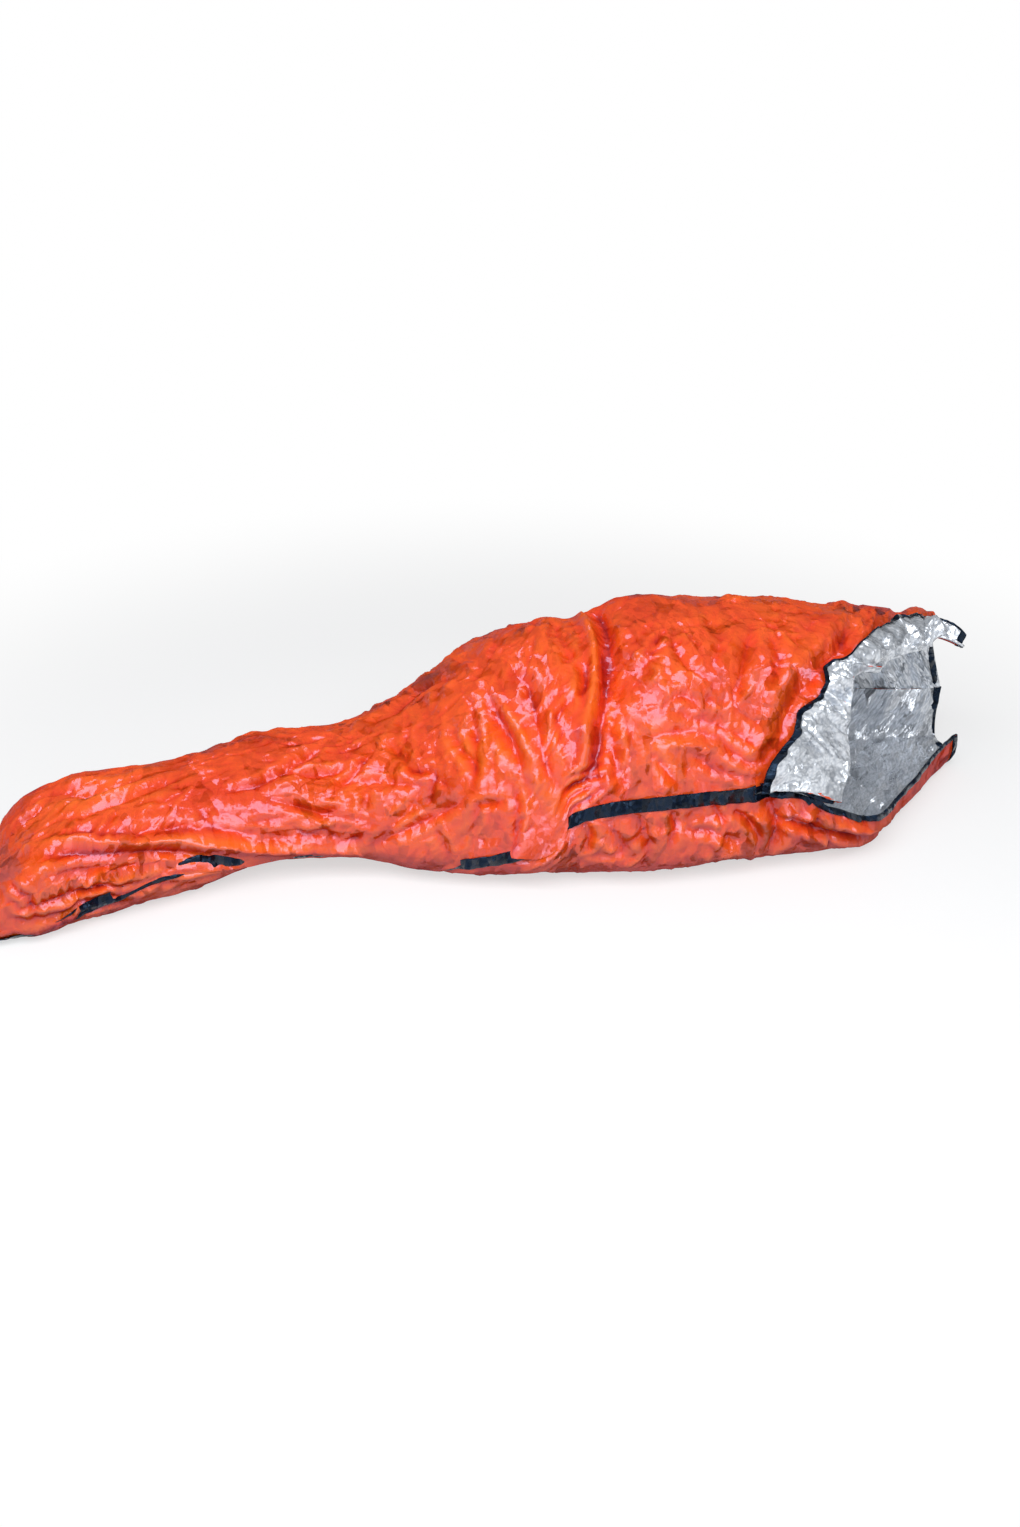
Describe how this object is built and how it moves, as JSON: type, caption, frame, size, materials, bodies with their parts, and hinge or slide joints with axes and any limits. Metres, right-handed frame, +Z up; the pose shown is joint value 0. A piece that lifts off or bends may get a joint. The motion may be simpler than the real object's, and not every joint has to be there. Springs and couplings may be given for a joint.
{
  "type": "emergency bivvy bag",
  "caption": "Full-length reflective film survival bag, orange outside and silver inside, lying filled on its base with the mouth rim folded back and dark tape along every seam and edge.",
  "frame": {"origin": "middle of the underside of the bag's box, on the ground", "axes": "+X from the foot to the mouth, +Z up, -Y the near side with the open slit"},
  "size_m": [2.0184, 0.5834, 0.4558],
  "materials": {
    "film": "gloss",
    "lining": "gloss",
    "tape": "satin"
  },
  "bodies": {
    "bag": {"upper_film_legs": "film", "upper_film_hips": "film", "upper_film_chest": "film", "lower_film_feet": "film", "lower_film_knees": "film", "lower_film_hips": "film", "lower_film_chest": "film", "corner_film": "film", "upper_lining": "lining", "lower_lining": "lining", "corner_lining": "lining", "near_seam_tape": "tape", "far_seam_tape": "tape", "foot_tape": "tape", "slit_tape": "tape", "lip_tape": "tape", "lip_end_tape": "tape", "far_rim_tape": "tape", "corner_tape": "tape"},
    "lapel": {"lapel_film": "film", "lapel_lining": "lining", "lapel_tape": "tape"},
    "hood": {"hood_film": "film", "hood_lining": "lining", "hood_tape": "tape"}
  },
  "joints": [
    {"name": "lapel_fold", "type": "hinge", "parent": "bag", "child": "lapel", "pos_m": [0.57854, -0.27612, 0.14892], "axis": [0.2477, 0.4954, 0.8326], "range_deg": [0, 160]},
    {"name": "hood_fold", "type": "hinge", "parent": "bag", "child": "hood", "pos_m": [0.63874, -0.15579, 0.35088], "axis": [0.7783, 0.6184, -0.1087], "range_deg": [0, 150]}
  ]
}
